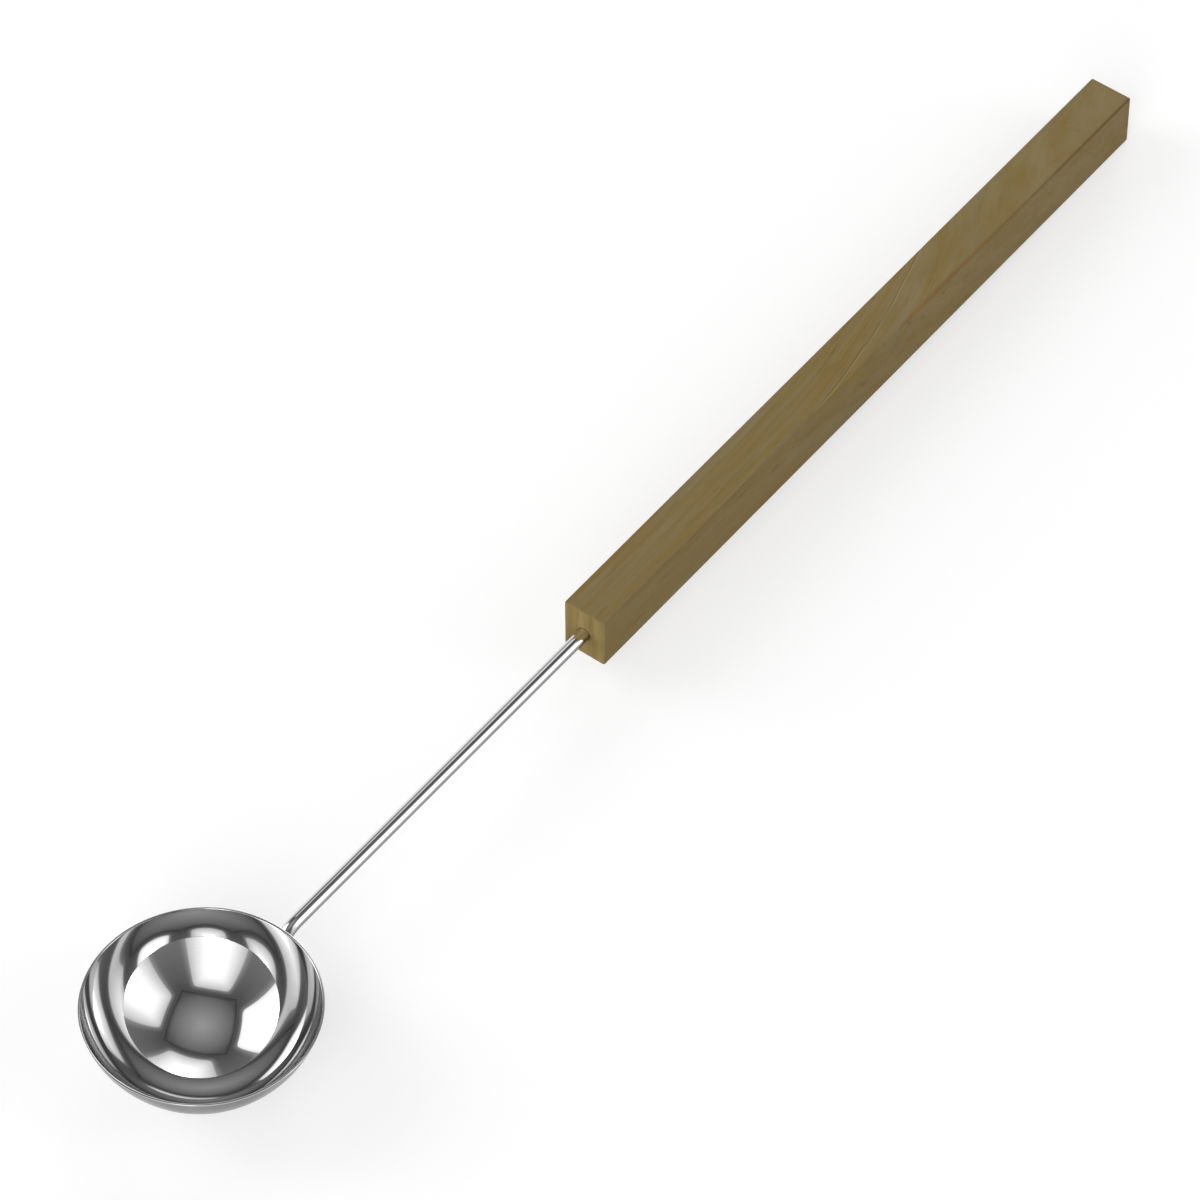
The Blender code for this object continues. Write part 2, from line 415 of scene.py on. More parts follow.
def cloudy_patches():
    """Group: soft irregular patches, a noise pulled apart round its middle."""
    name = "Cloudy patches"
    if name in bpy.data.node_groups:
        return bpy.data.node_groups[name]
    tree, bench, source, drain = effect_group(
        name,
        [("Vector", "NodeSocketVector", None), ("Scale", "NodeSocketFloat", 1.0),
         ("Softness", "NodeSocketFloat", 0.2)],
        [("Mask", "NodeSocketFloat")],
    )
    broad = bench.add(
        "ShaderNodeTexNoise",
        {"Vector": source["Vector"], "Scale": source["Scale"], "Detail": 3.0, "Roughness": 0.55},
    ).outputs[0]
    low = bench.less(0.5, source["Softness"])
    high = bench.plus(0.5, source["Softness"])
    bench.put(drain["Mask"], bench.span(broad, low, high))
    return tree


def fine_lines():
    """Group: fine lines along the stretched axis, noise kept only near its crests."""
    name = "Fine lines"
    if name in bpy.data.node_groups:
        return bpy.data.node_groups[name]
    tree, bench, source, drain = effect_group(
        name,
        [("Vector", "NodeSocketVector", None), ("Scale", "NodeSocketFloat", 1.0),
         ("Sparseness", "NodeSocketFloat", 0.5)],
        [("Lines", "NodeSocketFloat"), ("Height", "NodeSocketFloat")],
    )
    noise = bench.add(
        "ShaderNodeTexNoise",
        {"Vector": source["Vector"], "Scale": source["Scale"], "Detail": 2.0, "Roughness": 0.6},
    ).outputs[0]
    high = bench.plus(source["Sparseness"], 0.22)
    bench.put(drain["Lines"], bench.span(noise, source["Sparseness"], high))
    bench.put(drain["Height"], noise)
    return tree


def new_material(name):
    material = bpy.data.materials.new(name)
    material.use_nodes = True
    return material, Bench(material.node_tree)


def steel(name, colour, line_scale, smooth, rough, relief, outside=None):
    """Bare steel: working lines on the piece's own map, cloudy handling haze and fine relief.
    Where the attribute "outside" is set, a second, duller and darker tone with stronger lines
    takes over: on the bowl's outside a satin finish whose dark tone is also painted shade in
    its reflection, on the rod's flanks and underside painted shade. Light that has already
    glanced three times is partly scattered, so that the deepest reflections keep some light
    where the count of bounces ends."""
    material, bench = new_material(name)
    surface = bench.add("ShaderNodeUVMap", uv_map="surface").outputs[0]
    place = bench.object_place()
    lines = bench.lines(bench.placed(surface, line_scale), 0.5)
    haze = bench.clouds(bench.placed(place, (70.0, 70.0, 70.0)), 0.22)
    tone = bench.mix(haze, colour, tuple(value * 0.97 for value in colour))
    roughness = bench.plus(bench.times(haze, rough - smooth), smooth)
    marked = LINES_INSIDE
    if outside:
        # Darker outside tone: painted shade on the rod's flanks and underside, and on the bowl's
        # outside a satin finish that is partly painted shade.
        mask = bench.mark("outside")
        dull_and_shaded = bench.mix(haze, outside[0], tuple(value * 0.88 for value in outside[0]))
        tone = bench.mix(mask, tone, dull_and_shaded)
        scatter = bench.sum("MULTIPLY_ADD", haze, 0.06, outside[1] - smooth)
        roughness = bench.sum("MULTIPLY_ADD", mask, scatter, roughness)
        marked = bench.sum("MULTIPLY_ADD", mask, LINES_OUTSIDE, marked)
    tone = bench.mix(bench.times(lines["Lines"], marked), tone, LINE_TONE)
    roughness = bench.sum("MULTIPLY_ADD", lines["Lines"], 0.015, roughness)
    bump = bench.relief(relief, 0.00005, lines["Height"])
    glances = bench.add("ShaderNodeLightPath").outputs["Glossy Depth"]
    metal = bench.span(glances, 2.0, 3.0, 1.0, DEEP_METAL, soft=False)
    bench.finish(
        {"Base Color": tone, "Metallic": metal, "Roughness": roughness,
         "Specular Tint": EDGE_TINT, "Normal": bump}
    )
    return material


def oiled_cedar(finishes):
    """Oiled cedar, in millimetres along the board, across it and up.

    The grain follows the level lines of a sweep: the place across, plus a tilt times the
    drop below the top, less a soft ramp along the board (slope times width times the log of
    one plus the exponential), plus wavering noise and a swirl round each knot. Long bands,
    fine streaks, dashes, late-wood lines and clouds are noises on (along, sweep, up),
    stretched along the grain.
    """
    material, bench = new_material("Oiled cedar")
    board = bench.placed(bench.object_place(), (1000.0, 1000.0, 1000.0))
    axes = bench.add("ShaderNodeSeparateXYZ", {0: board}).outputs
    x, y, z = axes["X"], axes["Y"], axes["Z"]

    def spot(centre, size, vector=board):
        """One in the middle of a patch, falling to nought at its radii."""
        scale = tuple(1.0 / value for value in size)
        shift = tuple(-middle / value for middle, value in zip(centre, size))
        away = bench.add(
            "ShaderNodeVectorMath", {0: bench.placed(vector, scale, shift)}, operation="LENGTH"
        ).outputs["Value"]
        return bench.span(away, 0.0, 1.0, 1.0, 0.0)

    ramp = bench.sum("EXPONENT", bench.ratio(bench.less(x, 148.0), 30.0))
    ramp = bench.times(bench.sum("LOGARITHM", bench.plus(ramp, 1.0), math.e), 13.5)
    tilt = bench.span(x, 0.0, 150.0, -0.06, -0.30)
    waver = bench.add(
        "ShaderNodeTexNoise",
        {"Vector": bench.placed(board, (0.022, 0.11, 0.11)), "Scale": 1.0, "Detail": 2.0},
    ).outputs[0]
    sweep = bench.plus(y, bench.times(tilt, bench.less(z, TOP_Z)))
    sweep = bench.less(sweep, ramp)
    sweep = bench.plus(sweep, bench.times(bench.less(waver, 0.5), 3.0))
    for centre, size, pull in (
        ((66.0, -9.0, 31.0), (16.0, 6.0, 7.0), 4.0),
        ((119.0, -9.0, 29.0), (14.0, 6.0, 6.0), -4.5),
        ((259.0, -9.0, 37.0), (12.0, 6.0, 5.0), 4.0),
        ((212.0, 9.0, 27.0), (16.0, 6.0, 7.0), 4.0),
    ):
        sweep = bench.plus(sweep, bench.times(spot(centre, size), pull))
    grain = bench.add("ShaderNodeCombineXYZ", {"X": x, "Y": sweep, "Z": z}).outputs[0]
    band = bench.clouds(bench.placed(grain, (0.014, 0.27, 0.10)), 0.2)
    calm = bench.span(x, 165.0, 235.0, 0.0, 0.8)
    mottle = bench.clouds(bench.placed(board, (0.075, 0.13, 0.13), (4.4, 1.3, 0.6)), 0.24)
    band = bench.sum("MULTIPLY_ADD", bench.less(mottle, band), calm, band)
    flank = bench.span(z, *TOP_FADE, 0.45, 0.0)
    band = bench.sum("MULTIPLY_ADD", bench.less(0.5, band), flank, band)
    cloud = bench.clouds(bench.placed(grain, (0.05, 0.13, 0.12), (3.1, 0.7, 5.2)), 0.2)
    fine = bench.lines(bench.placed(grain, (0.03, 1.3, 0.6)), 0.47)
    dash = bench.lines(bench.placed(grain, (0.07, 0.95, 0.6), (1.7, 4.1, 0.3)), 0.58)["Lines"]
    fleck = bench.lines(bench.placed(board, (0.16, 2.4, 2.4)), 0.6)["Lines"]
    ring = bench.sum("FRACT", bench.ratio(sweep, 4.3))
    late = bench.times(bench.span(ring, 0.45, 0.9), bench.span(ring, 0.9, 1.0, 1.0, 0.0))
    late = bench.times(late, bench.span(cloud, 0.1, 0.9, 0.1, 1.0))
    late = bench.times(late, bench.span(x, 110.0, 190.0, 1.0, 0.15))
    drawn_out = bench.less(1.0, calm)
    tone = bench.mix(band, finishes.cedar_gold, finishes.cedar_grey)
    pale = tuple(0.75 * a + 0.25 * b for a, b in zip(finishes.cedar_grey, finishes.cedar_glow))
    clouded = bench.span(x, 90.0, 200.0, 0.3, 0.7)
    tone = bench.mix(bench.times(cloud, clouded), tone, pale)
    brown = bench.clouds(bench.placed(board, (0.028, 0.1, 0.13), (7.7, 2.2, 1.9)), 0.18)
    rusty = bench.lines(bench.placed(board, (0.28, 0.42, 0.42), (2.9, 0.4, 3.3)), 0.58)["Lines"]
    rusty = bench.times(rusty, bench.span(calm, 0.0, 0.8, 0.1, 0.3))
    broken = bench.span(cloud, 0.2, 0.8, 0.35, 1.0)
    onset = bench.times(bench.span(x, 84.0, 100.0), bench.span(z, *TOP_FADE))

    def thread(offset):
        """A thin broken line on the top, where the sweep is this far below nought."""
        near = bench.sum("ABSOLUTE", bench.plus(sweep, offset))
        line = bench.times(bench.span(near, 0.05, 0.36, 1.0, 0.0), onset)
        return bench.times(line, broken)

    for mask, share, colour in (
        (brown, 0.3, finishes.cedar_brown),
        (late, 0.16, finishes.cedar_late_and_edge_shade),
        (bench.times(fine["Lines"], drawn_out), 0.13, finishes.cedar_late_and_edge_shade),
        (bench.times(dash, drawn_out), 0.46, finishes.cedar_late_and_edge_shade),
        (fleck, 0.06, finishes.cedar_late_and_edge_shade),
        (rusty, 1.0, finishes.cedar_rust),
        (thread(10.0), 0.62, finishes.cedar_glow),
        (thread(9.35), 0.4, finishes.cedar_late_and_edge_shade),
        (spot((176.0, -8.6, TOP_Z), (58.0, 1.9, 1.6)), 0.6, finishes.cedar_rust),
        # Dark line along the top's edge on -Y: painted shade where the eased edge turns from the
        # light.
        (spot((280.0, -9.0, TOP_Z), (115.0, 1.3, 1.3)), 0.75, finishes.cedar_late_and_edge_shade),
    ):
        tone = bench.mix(bench.times(mask, share), tone, colour)
    fall = bench.sum("MULTIPLY_ADD", x, MARK_SLANT, z)
    slant = bench.add("ShaderNodeCombineXYZ", {"X": x, "Y": y, "Z": fall}).outputs[0]
    ragged = bench.span(fine["Height"], 0.35, 0.65, 0.2, 1.0)
    for centre, size, share, colour in (
        ((259.0, -9.0, 36.9), (5.0, 2.0, 1.2), 0.9, finishes.cedar_rust),
        ((118.0, -9.0, 29.0), (5.0, 2.0, 0.9), 0.5, finishes.cedar_late_and_edge_shade),
        ((121.0, -9.0, 26.6), (6.0, 2.0, 0.7), 0.4, finishes.cedar_late_and_edge_shade),
        ((177.0, -9.0, 31.0), (6.5, 2.0, 1.5), 0.3, finishes.cedar_glow),
        ((166.0, -9.0, 33.0), (24.0, 2.0, 5.5), 0.24, finishes.cedar_glow),
    ):
        mark = spot((centre[0], centre[1], centre[2] + MARK_SLANT * centre[0]), size, slant)
        tone = bench.mix(bench.times(bench.times(mark, ragged), share), tone, colour)
    rings = bench.clouds(bench.placed(board, (0.01, 0.34, 0.025), (0.0, 2.6, 0.0)), 0.26)
    sawn = bench.mix(rings, finishes.cedar_sawn, finishes.cedar_ring)
    sawn = bench.mix(bench.times(fleck, 0.12), sawn, finishes.cedar_late_and_edge_shade)
    tone = bench.mix(bench.mark("end"), tone, sawn)
    edge = bench.mark("edge")
    worn = bench.times(edge, bench.span(cloud, 0.0, 1.0, 0.03, 0.10))
    tone = bench.mix(worn, tone, finishes.cedar_late_and_edge_shade)
    roughness = bench.span(fine["Height"], 0.3, 0.7, 0.68, 0.56)
    roughness = bench.less(roughness, bench.times(edge, 0.08))
    height = bench.plus(fine["Height"], bench.times(fleck, -0.5))
    bump = bench.relief(0.2, 0.0002, height)
    bench.finish(
        {"Base Color": tone, "Roughness": roughness, "Specular IOR Level": 0.05, "Normal": bump}
    )
    return material


def cured_glue(finishes):
    """Cured glue: amber with cloudy darker patches and a slightly uneven skin."""
    material, bench = new_material("Cured glue")
    mask = bench.clouds(bench.placed(bench.object_place(), (900.0, 900.0, 900.0)), 0.3)
    dark = tuple(value * 0.8 for value in finishes.glue)
    tone = bench.mix(mask, finishes.glue, dark)
    bump = bench.relief(0.3, 0.0001, mask)
    bench.finish(
        {"Base Color": tone, "Roughness": bench.span(mask, 0.0, 1.0, 0.45, 0.6),
         "Specular IOR Level": 0.15, "Normal": bump}
    )
    return material


def floor_paint(colour, glow):
    """Matt pale floor with a barely cloudy tone. To the eye, to metal and to glass it adds a
    white glow, so that it reads white there and still keeps the shadow."""
    material, bench = new_material("Studio floor")
    mask = bench.clouds(bench.placed(bench.object_place(), (3.0, 3.0, 3.0)), 0.35)
    tone = bench.mix(mask, colour, tuple(value * 0.995 for value in colour))
    path = bench.add("ShaderNodeLightPath").outputs
    seen = bench.sum("MAXIMUM", path["Is Camera Ray"], path["Is Glossy Ray"])
    seen = bench.sum("MAXIMUM", seen, path["Is Transmission Ray"])
    bench.finish(
        {"Base Color": tone, "Roughness": 0.9, "Specular IOR Level": 0.0,
         "Emission Color": (1.0, 1.0, 1.0), "Emission Strength": bench.times(seen, glow)}
    )
    return material


def room_light(stage):
    """Glow of the studio room, from the room's own axes over its half width.

    On a wall, u is the share sideways from its middle and v the share upwards. A window
    spans u to 0.52 and v to 1.45, its light rises with the distance from its edge, and the
    wall on +Y has the key window. The wall is lit round a window and darkens upwards, and
    the corner between +X and +Y is pale below. The ceiling fades from its middle to its
    edges.
    """
    material, bench = new_material("Studio room")
    axes = bench.add("ShaderNodeSeparateXYZ", {0: bench.object_place()}).outputs
    x = bench.sum("ABSOLUTE", axes["X"])
    y = bench.sum("ABSOLUTE", axes["Y"])
    reach = bench.sum("MAXIMUM", x, y)
    on_x = bench.sum("GREATER_THAN", x, y)
    on_y = bench.less(1.0, on_x)
    beside = bench.less(bench.times(axes["Y"], on_x), bench.times(axes["X"], on_y))
    ahead = bench.plus(bench.times(axes["X"], on_x), bench.times(axes["Y"], on_y))
    u = bench.sum("ABSOLUTE", bench.less(bench.ratio(beside, ahead), WINDOW_SHIFT))
    v = bench.ratio(axes["Z"], reach)
    from_side = bench.times(bench.less(WINDOW_HALF, u), 1.5)
    inside = bench.sum("SMOOTH_MIN", bench.less(WINDOW_TOP, v), from_side, WINDOW_ROUND)
    wall = bench.span(v, 0.0, 1.64, 0.194, 0.088, soft=False)
    corner = bench.sum("MULTIPLY_ADD", axes["Y"], 0.53, bench.times(axes["X"], 0.85))
    corner = bench.span(bench.ratio(corner, reach), 0.5, 1.15)
    low = bench.span(v, 0.0, 0.8, 0.62, 0.0)
    wall = bench.sum("MULTIPLY_ADD", low, corner, wall)
    halo = bench.span(inside, -0.28, 0.0, 0.0, 1.0, soft=False)
    wall = bench.plus(wall, bench.times(bench.sum("POWER", halo, 2.0), 0.18))
    full = stage.window_edge + CORE_FROM * stage.window_slope
    rim = bench.span(inside, 0.0, CORE_FROM, stage.window_edge, full, soft=False)
    core = bench.span(inside, CORE_FROM, 0.65, 0.0, stage.window_core)
    key = bench.sum("GREATER_THAN", axes["Y"], x)
    left = bench.sum("GREATER_THAN", bench.times(axes["X"], -1.0), y)
    lift = bench.plus(bench.times(key, stage.key_gain - 1.0), 1.0)
    rim = bench.times(rim, lift)
    lift = bench.plus(lift, bench.times(left, 0.4))
    core = bench.times(core, lift)
    window = bench.span(inside, -0.025, 0.02)
    sides = bench.plus(bench.times(wall, bench.less(1.0, window)),
                       bench.times(bench.plus(rim, core), window))
    flat = bench.sum("SQRT", bench.plus(bench.sum("POWER", x, 2.0), bench.sum("POWER", y, 2.0)))
    high = bench.sum("MAXIMUM", axes["Z"], 0.001)
    ceiling = bench.span(bench.ratio(flat, high), 0.0, 0.62, 0.357, 0.092, soft=False)
    border = bench.span(bench.ratio(reach, high), 0.46, 0.56, 1.0, 0.5)
    ceiling = bench.times(ceiling, border)
    is_ceiling = bench.sum("GREATER_THAN", v, stage.ceiling_ratio * 0.999)
    light = bench.plus(bench.times(ceiling, is_ceiling),
                       bench.times(sides, bench.less(1.0, is_ceiling)))
    bench.surface(
        bench.add("ShaderNodeEmission", {"Color": (1.0, 1.0, 1.0), "Strength": light})
    )
    return material


def bowl_centre(sizes):
    """Radius of the bowl's outer ball, and its middle: the ball through the rim circle and
    the foot has radius (rim squared + depth squared) over twice the depth."""
    ball = (sizes.rim_radius**2 + sizes.bowl_depth**2) / (2.0 * sizes.bowl_depth)
    axis = (BOWL_LOW.x + BOWL_HIGH.x) / 2.0
    return ball, np.array((axis, 0.0, BOWL_LOW.z + ball))


def bowl_profile(sizes):
    """Section of the sheet as radius and height, from the outer foot over the lip to the
    inner foot: an arc of the outer ball, a superellipse lip sheared along the wall, and an
    arc of a ball smaller by the sheet."""
    ball = bowl_centre(sizes)[0]
    inner = ball - sizes.sheet
    base = sizes.bowl_depth - sizes.lip_height
    out_turn = math.acos((ball - base) / ball)
    in_turn = math.acos((ball - base) / inner)
    turn = np.linspace(0.0, out_turn, WALL_RINGS + 2)[1:-1]
    outside = np.stack([ball * np.sin(turn), ball - ball * np.cos(turn)], -1)
    turn = np.linspace(in_turn, 0.0, WALL_RINGS + 2)[1:-1]
    inside = np.stack([inner * np.sin(turn), ball - inner * np.cos(turn)], -1)
    r_out = ball * math.sin(out_turn)
    r_in = inner * math.sin(in_turn)
    phase = np.linspace(0.0, math.pi, LIP_RINGS)
    sideways = np.sign(np.cos(phase)) * np.abs(np.cos(phase)) ** 0.65
    upwards = np.abs(np.sin(phase)) ** 0.65
    lift = sizes.lip_height * upwards
    radius = (r_out + r_in) / 2 + (r_out - r_in) / 2 * sideways + lift / math.tan(out_turn) * 0.5
    lip = np.stack([radius, base + lift], -1)
    return np.concatenate([outside, lip, inside])


def make_bowl(sizes):
    """The bowl's profile turned about the vertical axis: radius times (cos, sin), height."""
    centre = bowl_centre(sizes)[1]
    profile = bowl_profile(sizes)
    padded = np.concatenate([[(0.0, 0.0)], profile, [(0.0, sizes.sheet)]])
    step = padded[2:] - padded[:-2]
    slope = np.stack([step[:, 1], -step[:, 0]], -1)
    turn = turns(256)
    spread = np.stack([np.cos(turn), np.sin(turn), np.zeros(256)], -1)
    rise = np.array((0.0, 0.0, 1.0))
    foot = np.array((centre[0], 0.0, BOWL_LOW.z))
    rings = foot + profile[:, None, :1] * spread + profile[:, None, 1:] * rise
    normals = slope[:, None, :1] * spread + slope[:, None, 1:] * rise
    along = lengths(profile)
    poles = ((foot, -rise), (foot + rise * sizes.sheet, rise))
    row = np.arange(len(profile))
    lip_end = WALL_RINGS + LIP_RINGS - 1
    # The outside and half the lip take the darker satin tone, which is partly painted shade.
    outer = np.where(row < WALL_RINGS, 1.0, np.where(row < lip_end, LIP_SHARE, 0.0))
    outer = np.broadcast_to(outer[:, None], rings.shape[:2])
    return closed_skin("ladle_bowl", rings, normals, along, poles, {"outside": outer})


def rod_chain(sizes):
    """Middle line of the rod in the XZ plane and its direction, from the end in the handle.

    Straight shank, elbow of one radius, straight leg on the common tangent, and a foot on a
    circle round the ball's middle. The elbow turns until the leg is square to the line
    from the ball's middle to the foot's start.
    """
    ball, centre = bowl_centre(sizes)
    axis_z = (HANDLE_LOW.z + HANDLE_HIGH.z) / 2.0
    wrap = ball + sizes.seat + sizes.rod_diameter / 2.0
    drop = centre[2] - axis_z + sizes.elbow_radius
    reach = math.hypot(wrap + sizes.elbow_radius, sizes.leg)
    bend_x = centre[0] + math.sqrt(reach**2 - drop**2)
    bend_z = axis_z - sizes.elbow_radius
    turn = math.asin((wrap + sizes.elbow_radius) / reach) - math.atan2(drop, bend_x - centre[0])
    run = np.linspace(ROD_HIGH.x - sizes.rod_end_edge, bend_x, 48)
    shank = np.stack([run, np.full(48, axis_z)], -1)
    bend = np.linspace(0.0, turn, 41)[1:]
    elbow = np.stack([bend_x - sizes.elbow_radius * np.sin(bend),
                      bend_z + sizes.elbow_radius * np.cos(bend)], -1)
    stop = sizes.rod_end_edge / wrap
    swing = np.linspace(turn, turn - sizes.foot / wrap + stop, 29)
    foot = np.stack([centre[0] + wrap * np.sin(swing), centre[2] - wrap * np.cos(swing)], -1)
    line = np.concatenate([shank, elbow, foot])
    heading = np.concatenate(
        [
            np.repeat([(-1.0, 0.0)], 48, axis=0),
            np.stack([-np.cos(bend), -np.sin(bend)], -1),
            np.stack([-np.cos(swing), -np.sin(swing)], -1),
        ]
    )
    flat = np.zeros(len(line))
    points = np.stack([line[:, 0], flat, line[:, 1]], -1)
    headings = np.stack([heading[:, 0], flat, heading[:, 1]], -1)
    return points, headings, turn, wrap


def make_rod(sizes):
    """A circle carried along the rod's middle line, its radius eased to a quarter round at
    each end, closed by flat fans. The attribute "outside" grows from the polished top to the
    flanks and the underside, where it paints shade with a darker tone."""
    points, headings = rod_chain(sizes)[:2]
    ease = np.radians(np.array((90.0, 72.0, 54.0, 36.0, 18.0)))
    radius = sizes.rod_diameter / 2.0
    edge = sizes.rod_end_edge
    start = points[0] - headings[0] * (edge * np.sin(ease))[:, None]
    finish = points[-1] + headings[-1] * (edge * np.sin(ease[::-1]))[:, None]
    middles = np.concatenate([start, points, finish])
    heads = np.concatenate(
        [np.repeat(headings[:1], 5, 0), headings, np.repeat(headings[-1:], 5, 0)]
    )
    lean = np.concatenate([-ease, np.zeros(len(points)), ease[::-1]])
    size = radius - edge + edge * np.cos(lean)
    side = np.array((0.0, 1.0, 0.0))
    up = np.cross(heads, side)
    phase = turns(64)
    out = np.cos(phase)[None, :, None] * up[:, None, :] + np.sin(phase)[None, :, None] * side
    rings = middles[:, None, :] + size[:, None, None] * out
    normals = np.cos(lean)[:, None, None] * out + np.sin(lean)[:, None, None] * heads[:, None, :]
    along = lengths(middles)
    poles = ((middles[0], -heads[0]), (middles[-1], heads[-1]))
    # Painted shade: the rod darkens as its normal turns away from upwards.
    dull_and_shaded = np.clip((ROD_SHADE_FROM - normals[..., 2]) / ROD_SHADE_SPAN, 0.0, 1.0)
    return closed_skin("ladle_rod", rings, normals, along, poles, {"outside": dull_and_shaded})


def make_bead(sizes, name, hand):
    """A weld bead: a circle carried along the seam between foot and bowl, swelling in
    leaning ripples, its radius running out to a round tip at each end."""
    ball, centre = bowl_centre(sizes)
    turn, wrap = rod_chain(sizes)[2:]
    track = ball + sizes.bead_gap + sizes.bead_core
    apart = sizes.rod_diameter / 2.0 + sizes.bead_gap + sizes.bead_core
    lean = math.acos((track**2 + wrap**2 - apart**2) / (2.0 * track * wrap))
    inset = sizes.bead_inset / wrap
    share = (1.0 - np.cos(np.linspace(0.0, math.pi, 121)[1:-1])) / 2.0
    swing = (turn - inset) + share * (2.0 * inset - sizes.foot / wrap)
    out = np.stack([np.cos(lean) * np.sin(swing), np.full(119, hand * math.sin(lean)),
                    -np.cos(lean) * np.cos(swing)], -1)
    middles = centre + track * out
    heads = unit(np.gradient(middles, axis=0))
    side = unit(np.cross(heads, out))
    phase = turns(40)
    length = share * (sizes.foot - 2.0 * sizes.bead_inset)
    wave = length[:, None] / 0.0013 + 0.35 * np.cos(phase)[None, :]
    ripple = 1.0 + 0.055 * (np.abs(np.sin(math.pi * wave)) ** 0.7 - 0.6)
    tip = np.sqrt(np.clip(1.0 - np.abs(2.0 * share - 1.0) ** 5, 0.0, 1.0))
    size = sizes.bead_radius * tip[:, None] * ripple
    ring = (np.cos(phase)[None, :, None] * out[:, None, :]
            + np.sin(phase)[None, :, None] * side[:, None, :])
    rings = middles[:, None, :] + size[:, :, None] * ring
    around = np.roll(rings, -1, 1) - np.roll(rings, 1, 1)
    forward = np.gradient(rings, axis=0)
    normals = np.cross(around, forward)
    normals = normals * np.sign(np.sum(normals * ring, -1, keepdims=True) + 1e-30)
    poles = ((middles[0] - heads[0] * 1e-5, -heads[0]), (middles[-1] + heads[-1] * 1e-5, heads[-1]))
    return closed_skin(name, rings, normals, length, poles)


def board_outline(width, height, corner):
    """Rounded rectangle round the board's axis as (y, z), and its outward direction: flat
    runs along each side and a quarter circle at each corner."""
    run = (np.arange(24) + 0.5) / 24.0 * 2.0 - 1.0
    arc = np.linspace(0.0, math.pi / 2.0, 9)
    half_y = width / 2.0 - corner
    half_z = height / 2.0 - corner
    flat_y = np.stack([np.full(24, width / 2.0), run * half_z], -1)
    flat_z = np.stack([-run * half_y, np.full(24, height / 2.0)], -1)
    bend = np.stack([np.cos(arc), np.sin(arc)], -1)
    first = np.array((half_y, half_z)) + corner * bend
    second = np.array((-half_y, half_z)) + corner * np.stack([-bend[:, 1], bend[:, 0]], -1)
    upper = np.concatenate([flat_y, first, flat_z, second])
    ahead = np.concatenate([np.repeat([(1.0, 0.0)], 24, 0), bend, np.repeat([(0.0, 1.0)], 24, 0),
                            np.stack([-bend[:, 1], bend[:, 0]], -1)])
    return np.concatenate([upper, -upper]), np.concatenate([ahead, -ahead])


def make_handle(sizes):
    """The board as one stack of rings: blind bore, eased mouth, front face, eased front
    edge, long sides, eased back edge and back face. A face ring runs from the bore's circle
    to the outline in even shares; an edge ring is the inner outline plus the edge radius
    times the sine outwards and one minus the cosine along X."""
    front, back = HANDLE_LOW.x, HANDLE_HIGH.x
    width = HANDLE_HIGH.y - HANDLE_LOW.y
    height = HANDLE_HIGH.z - HANDLE_LOW.z
    axis = np.array((0.0, (HANDLE_LOW.y + HANDLE_HIGH.y) / 2.0,
                     (HANDLE_LOW.z + HANDLE_HIGH.z) / 2.0))
    edge = sizes.end_edge
    outline, outward = board_outline(width, height, sizes.long_edge)
    core = outline - outward * edge
    phase = np.arctan2(outline[:, 1], outline[:, 0])
    circle = np.stack([np.cos(phase), np.sin(phase)], -1)
    count = len(outline)
    mouth = 0.0001

    def ring(flat, x):
        return np.concatenate([np.full((count, 1), x), flat], -1)

    bore_runs = np.linspace(front + sizes.bore_depth, front + mouth, 12)
    bore = np.stack([ring(circle * sizes.bore_radius, x) for x in bore_runs])
    bore_out = np.repeat(ring(-circle, 0.0)[None], 12, 0)
    lean = np.radians((22.5, 45.0, 67.5, 90.0))
    lip = np.stack([ring(circle * (sizes.bore_radius + mouth * (1.0 - math.cos(a))),
                         front + mouth * (1.0 - math.sin(a))) for a in lean])
    lip_out = np.stack([ring(-circle * math.cos(a), -math.sin(a)) for a in lean])
    shares = np.linspace(0.0, 1.0, 9)[1:]
    start = circle * (sizes.bore_radius + mouth)
    face = np.stack([ring(start + (core - start) * s, front) for s in shares])
    face_out = np.repeat(ring(circle * 0.0, -1.0)[None], 8, 0)
    lean = np.radians((18.0, 36.0, 54.0, 72.0, 90.0))
    near = np.stack([ring(core + outward * edge * math.sin(a), front + edge * (1.0 - math.cos(a)))
                     for a in lean])
    near_out = np.stack([ring(outward * math.sin(a), -math.cos(a)) for a in lean])
    runs = np.linspace(front + edge, back - edge, 81)[1:]
    sides = np.stack([ring(outline, x) for x in runs])
    sides_out = np.repeat(ring(outward, 0.0)[None], 80, 0)
    lean = lean[::-1] - math.radians(18.0)
    far = np.stack([ring(core + outward * edge * math.sin(a), back - edge * (1.0 - math.cos(a)))
                    for a in lean])
    far_out = np.stack([ring(outward * math.sin(a), math.cos(a)) for a in lean])
    shares = np.linspace(1.0, 0.0, 9)[1:-1]
    butt = np.stack([ring(core * s, back) for s in shares])
    butt_out = np.repeat(ring(circle * 0.0, 1.0)[None], 7, 0)
    rings = np.concatenate([bore, lip, face, near, sides, far, butt]) + axis
    normals = np.concatenate([bore_out, lip_out, face_out, near_out, sides_out, far_out, butt_out])
    along = lengths(rings[:, 0])
    x_axis = np.array((1.0, 0.0, 0.0))
    poles = ((axis + x_axis * (front + sizes.bore_depth), -x_axis), (axis + x_axis * back, x_axis))
    local = rings - axis
    gaps = np.stack([np.minimum(local[..., 0] - front, back - local[..., 0]),
                     width / 2.0 - np.abs(local[..., 1]), height / 2.0 - np.abs(local[..., 2])], -1)
    second = np.sort(gaps, -1)[..., 1]
    wear = np.exp(-((second / 0.0011) ** 2))
    sawn = np.abs(normals[..., 0]) ** 2
    return closed_skin("ladle_handle", rings, normals, along, poles, {"edge": wear, "end": sawn})


